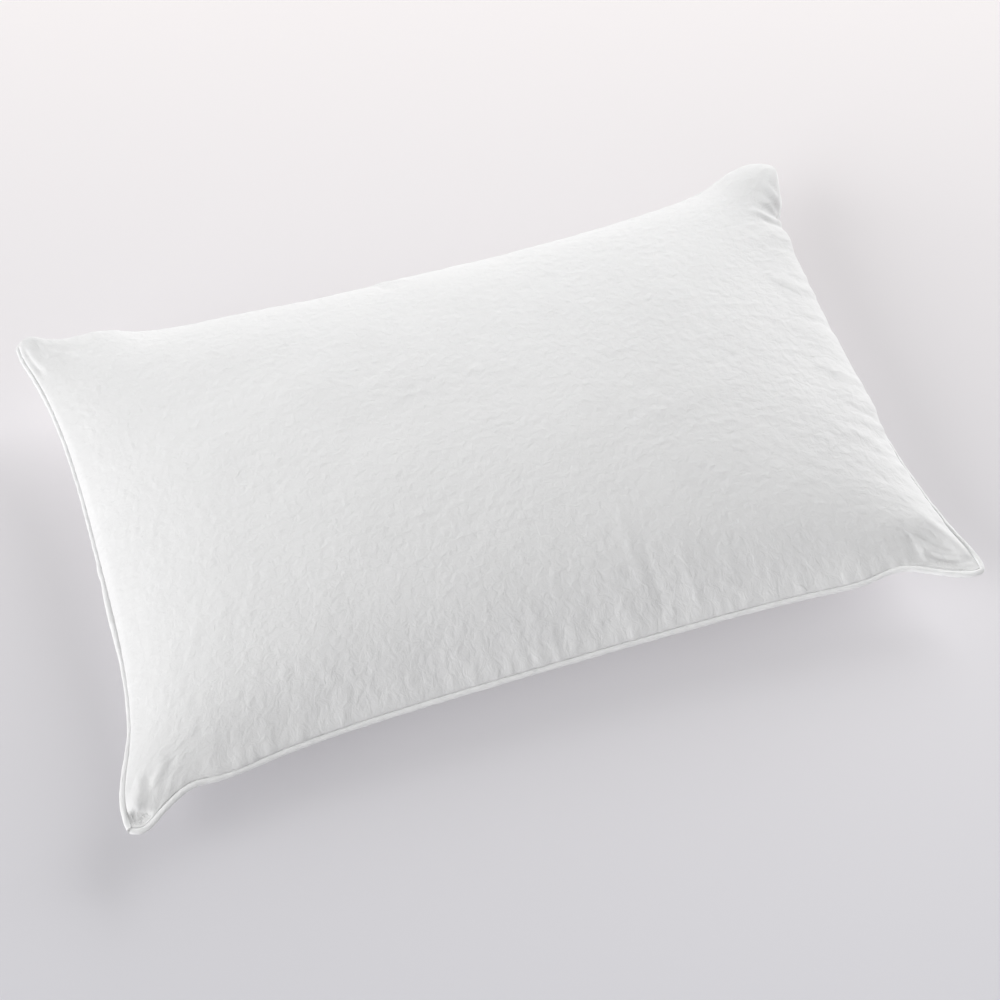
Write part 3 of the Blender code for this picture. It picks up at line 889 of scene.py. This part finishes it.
def make_floor():
    """A plain pale floor with painted shade that makes it a little darker and cooler towards the front.
    Like a light table, it gives part of its own light, which keeps the shadows thin."""
    bpy.ops.mesh.primitive_circle_add(vertices=128, radius=9, fill_type="NGON")
    floor = bpy.context.object
    floor.name = "studio_floor"
    made, nodes, links, shader = shader_of("studio_floor", (0.8, 0.8, 0.8), 0.9)
    where = nodes.new("ShaderNodeTexCoord")
    toward = nodes.new("ShaderNodeVectorMath")
    toward.operation = "DOT_PRODUCT"
    azimuth = math.radians(CAMERA_AZIMUTH)
    toward.inputs[1].default_value = (-math.sin(azimuth), math.cos(azimuth), 0)
    links.new(where.outputs["Object"], toward.inputs[0])
    span = nodes.new("ShaderNodeMapRange")
    span.inputs["From Min"].default_value = FLOOR_NEAR
    span.inputs["From Max"].default_value = FLOOR_FAR
    links.new(toward.outputs["Value"], span.inputs["Value"])
    # Painted shade: the floor's colour darkens and cools towards the camera.
    ramp = nodes.new("ShaderNodeValToRGB")
    ramp.color_ramp.elements[0].color = NEAR_SHADED_TONE
    ramp.color_ramp.elements[1].color = FAR_LIT_TONE
    links.new(span.outputs["Result"], ramp.inputs["Fac"])
    shade = nodes.new("ShaderNodeMix")
    shade.data_type, shade.blend_type = "RGBA", "MULTIPLY"
    shade.inputs["Factor"].default_value = 1
    shade.inputs["B"].default_value = (1 - GLOW, 1 - GLOW, 1 - GLOW, 1)
    links.new(ramp.outputs["Color"], shade.inputs["A"])
    links.new(shade.outputs["Result"], shader.inputs["Base Color"])
    links.new(ramp.outputs["Color"], shader.inputs["Emission Color"])
    shader.inputs["Emission Strength"].default_value = GLOW
    floor.data.materials.append(made)
    return floor


def make_lights():
    """An even sky, two low lights from the sides and a faint one from the front."""
    world = bpy.data.worlds.new("studio")
    bpy.context.scene.world = world
    world.use_nodes = True
    world.node_tree.nodes["Background"].inputs["Color"].default_value = (1, 1, 1, 1)
    world.node_tree.nodes["Background"].inputs["Strength"].default_value = SKY
    for name, (azimuth, elevation, strength, spread) in SUNS.items():
        make_sun(name, azimuth, elevation, strength, spread)
    bpy.context.scene.view_settings.view_transform = "Standard"


# ---------------------------------------------------------------- assembly

def settled_panels():
    """The fine grid's s and t, and both panels on it once the cloth has settled."""
    s, t = grid(SIM_LONG, SIM_SHORT)
    plain = start_form(s, t)
    settled = simulate(s, t, *plain)
    tips = tip_share(s, t)[..., None]
    top, bottom = (tips * a + (1 - tips) * b for a, b in zip(plain, settled))
    for axis in (0, 1):
        s, t, top, bottom = (refine(values, REFINE, axis) for values in (s, t, top, bottom))
    return s, t, top, bottom


def main():
    s, t, top, bottom = settled_panels()
    seam = make_seam(s, t)
    outward = outward_field(seam.out, s, t)
    top = shape_ears(dress(top, s, t, True, outward))
    bottom = shape_ears(dress(bottom, s, t, False, outward))
    bottom[..., 2] = np.maximum(bottom[..., 2], FLOOR_GAP)

    ticking = cotton("ticking", (0.80, 0.80, 0.80))
    # The piping's cotton is the ticking's white made brighter: part its own white, part a painted
    # highlight for the light its round cord catches.
    piping_cotton = cotton("piping_cotton", (0.87, 0.87, 0.87), bias=True)
    thread = fibre("sewing_thread", (0.90, 0.90, 0.90), 0.55, 900, 0.0001)
    cord_cotton = fibre("cord_cotton", (0.80, 0.79, 0.76), 0.9, 1200, 0.0002)
    down = fibre("down", (0.88, 0.87, 0.84), 1.0, 160, 0.002)

    lid = make_panel("top_cloth", top, s, t, seam, True, ticking)
    base = make_panel("bottom_cloth", bottom, s, t, seam, False, ticking)
    piping = make_piping(seam, piping_cotton)
    cord = make_cord(seam, cord_cotton)
    needle = make_lockstitch("needle_stitches", seam, 1, thread)
    bobbin = make_lockstitch("bobbin_stitches", seam, -1, thread)
    overlock = make_overlock(seam, thread)
    closing = make_closing(seam, thread)
    fill = make_down(top, bottom, s, t, down)

    for made, node, slot in (
            (lid, "top_panel", "ticking"), (base, "bottom_panel", "ticking"),
            (piping, "piping_strip", "piping"), (cord, "piping_cord", "cord"),
            (needle, "seam_needle_thread", "thread"), (bobbin, "seam_bobbin_thread", "thread"),
            (overlock, "overlock_thread", "thread"), (closing, "closing_thread", "thread"),
            (fill, "filling", "down")):
        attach(made, "root")
        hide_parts(node)

    floor = make_floor()
    make_lights()
    make_camera()


main()
